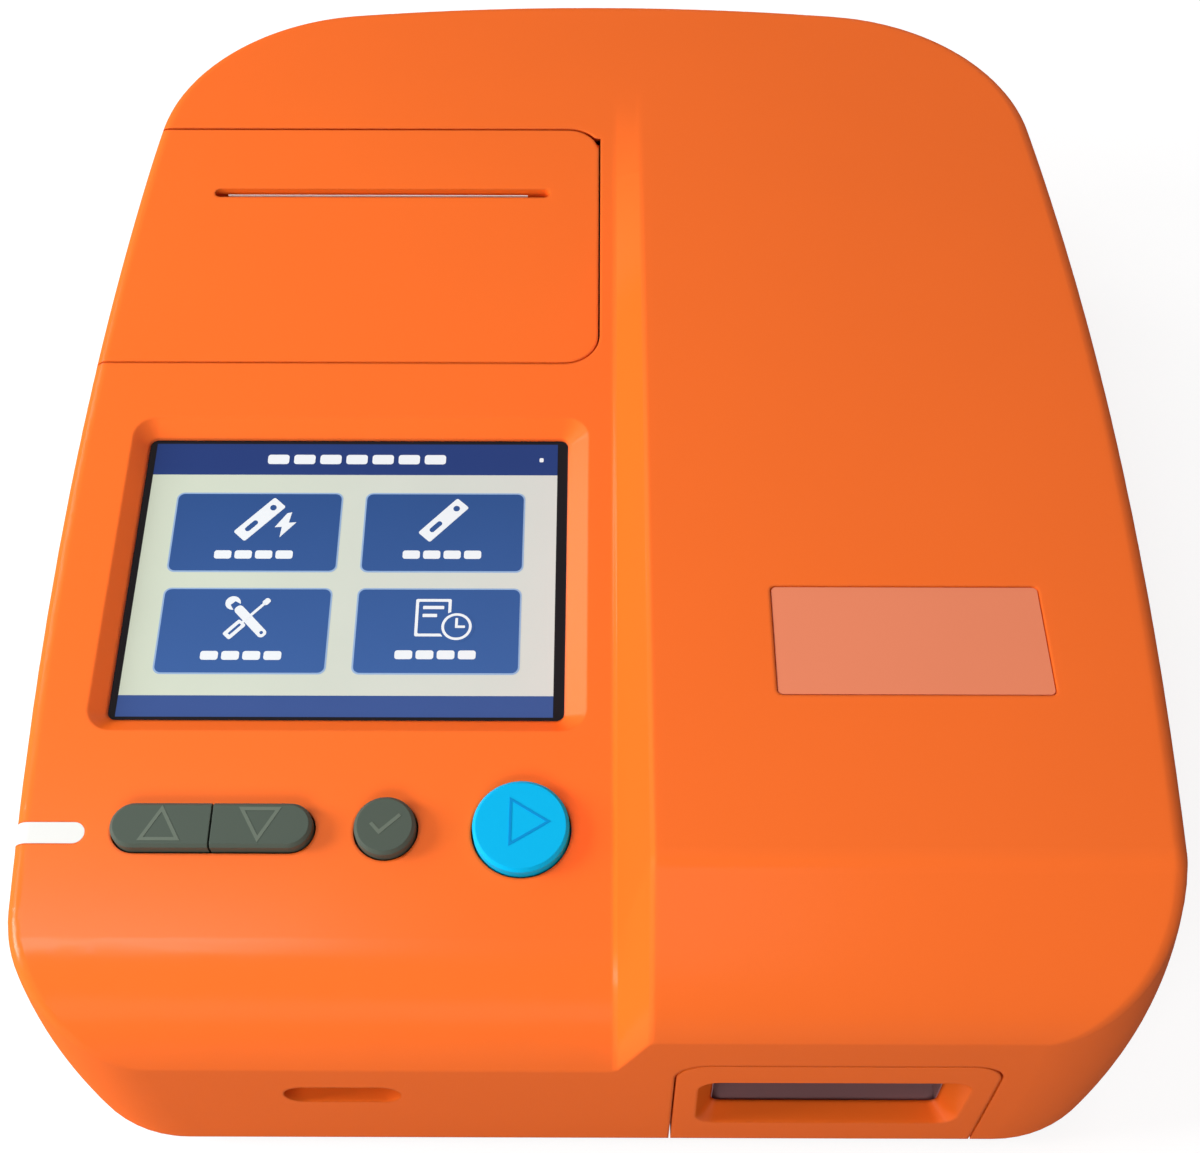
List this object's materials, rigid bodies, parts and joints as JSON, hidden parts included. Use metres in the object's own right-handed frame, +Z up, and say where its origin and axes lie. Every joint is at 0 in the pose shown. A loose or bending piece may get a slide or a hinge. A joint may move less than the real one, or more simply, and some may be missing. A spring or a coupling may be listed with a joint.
{
  "type": "rapid test reader",
  "caption": "Benchtop rapid test reader: sloped panel with display and keys, raised block with a motor-driven card drawer, receipt printer under a hinged cover.",
  "frame": {"origin": "middle of the footprint, on the table, under the feet", "axes": "+X to the right as the user faces it, +Y to the back, +Z up"},
  "size_m": [0.1846, 0.2203, 0.0675],
  "materials": {
    "orange_shell": "satin moulded orange plastic",
    "black_plastic": "fine matt black",
    "grey_plastic": "matt grey moulding",
    "acetal": "smooth off-white",
    "key_grey": "matt dark grey-green",
    "key_blue": "satin bright blue",
    "switch_body": "matt black",
    "screen": "lit display behind clear glass",
    "screen_frame": "black display border",
    "label_blank": "plain satin salmon",
    "white_diffuser": "translucent white",
    "paper": "smooth white thermal paper",
    "board_green": "solder mask",
    "steel": "zinc plated",
    "brass": "machined",
    "rubber": "matt black",
    "black_anodised": "black anodised",
    "lens_glass": "polished",
    "ceramic": "glazed ceramic head on its plate",
    "battery_wrap": "shrink sleeve",
    "rocker_black": "gloss black"
  },
  "bodies": {
    "housing": {"battery_pack": "battery_wrap", "case_bottom": "orange_shell", "case_screw_1": "steel", "case_screw_2": "steel", "case_screw_3": "steel", "case_screw_4": "steel", "case_top": "orange_shell", "chip_socket": "black_plastic", "data_port": "steel", "drawer_guide": "black_plastic", "drive_motor": "steel", "feed_motor": "steel", "foot_1": "rubber", "foot_2": "rubber", "foot_3": "rubber", "foot_4": "rubber", "hinge_pin": "steel", "io_board": "board_green", "key_board": "board_green", "label_plate": "label_blank", "lcd_active": "screen", "lcd_bracket": "black_plastic", "lcd_module": "screen_frame", "light_bar": "white_diffuser", "main_board": "board_green", "motor_bracket": "steel", "optic_bridge": "grey_plastic", "optic_head": "black_anodised", "optic_lens": "lens_glass", "paper_strip": "paper", "power_inlet": "black_plastic", "print_frame": "black_plastic", "printer_tub": "black_plastic", "speaker": "black_plastic", "switch_down": "switch_body", "switch_housing": "black_plastic", "switch_ok": "switch_body", "switch_start": "switch_body", "switch_up": "switch_body", "thermal_head": "ceramic"},
    "cover": {"printer_cover": "orange_shell"},
    "up_key": {"key_up": "key_grey"},
    "down_key": {"key_down": "key_grey"},
    "ok_key": {"key_ok": "key_grey"},
    "start_key": {"key_start": "key_blue"},
    "drawer": {"drawer_front": "orange_shell", "drawer_tray": "grey_plastic", "drawer_rack": "acetal"},
    "pinion": {"drive_pinion": "brass"},
    "platen": {"platen_shaft": "steel", "platen_rubber": "rubber", "platen_gear": "acetal"},
    "idler": {"idler_gear": "acetal"},
    "feed_drive": {"feed_pinion": "brass"},
    "roll": {"paper_roll": "paper", "roll_core": "grey_plastic", "roll_spindle": "steel"},
    "rocker": {"switch_rocker": "rocker_black"}
  },
  "joints": [
    {"name": "cover_hinge", "type": "hinge", "parent": "housing", "child": "cover", "pos_m": [-0.04, 0.0598, 0.06091], "axis": [-1, 0, 0], "range_deg": [0, 75]},
    {"name": "up_press", "type": "slide", "parent": "housing", "child": "up_key", "axis": [0, 0.1219, -0.9925], "range_m": [0, 0.001], "stiffness_N_per_m": 250, "springref_m": -0.0002},
    {"name": "down_press", "type": "slide", "parent": "housing", "child": "down_key", "axis": [0, 0.1219, -0.9925], "range_m": [0, 0.001], "stiffness_N_per_m": 250, "springref_m": -0.0002},
    {"name": "ok_press", "type": "slide", "parent": "housing", "child": "ok_key", "axis": [0, 0.1219, -0.9925], "range_m": [0, 0.001], "stiffness_N_per_m": 250, "springref_m": -0.0002},
    {"name": "start_press", "type": "slide", "parent": "housing", "child": "start_key", "axis": [0, 0.1219, -0.9925], "range_m": [0, 0.001], "stiffness_N_per_m": 250, "springref_m": -0.0002},
    {"name": "drawer_slide", "type": "slide", "parent": "housing", "child": "drawer", "axis": [0, -1, 0], "range_m": [0, 0.052]},
    {"name": "pinion_spin", "type": "hinge", "parent": "housing", "child": "pinion", "pos_m": [0.0673, -0.08, 0.017], "axis": [0, 0, 1], "range_deg": [0, 415]},
    {"name": "roll_spin", "type": "hinge", "parent": "housing", "child": "roll", "pos_m": [-0.0412, 0.03278, 0.03804], "axis": [1, 0, 0], "continuous": true},
    {"name": "platen_spin", "type": "hinge", "parent": "housing", "child": "platen", "pos_m": [-0.0412, 0.05546, 0.05191], "axis": [1, 0, 0], "continuous": true},
    {"name": "idler_spin", "type": "hinge", "parent": "housing", "child": "idler", "pos_m": [-0.0051, 0.05656, 0.04298], "axis": [1, 0, 0], "continuous": true},
    {"name": "feed_spin", "type": "hinge", "parent": "housing", "child": "feed_drive", "pos_m": [-0.0051, 0.05735, 0.03653], "axis": [1, 0, 0], "continuous": true},
    {"name": "rocker_tilt", "type": "hinge", "parent": "housing", "child": "rocker", "pos_m": [0.032, 0.10521, 0.0205], "axis": [0, 0, 1], "range_deg": [0, 14]}
  ],
  "couplings": [
    {"joint": "pinion_spin", "follows": "drawer_slide", "rad_per_m": 138.89},
    {"joint": "platen_spin", "follows": "roll_spin", "ratio": -3.75},
    {"joint": "idler_spin", "follows": "roll_spin", "ratio": 5.8929},
    {"joint": "feed_spin", "follows": "roll_spin", "ratio": -6.875}
  ]
}
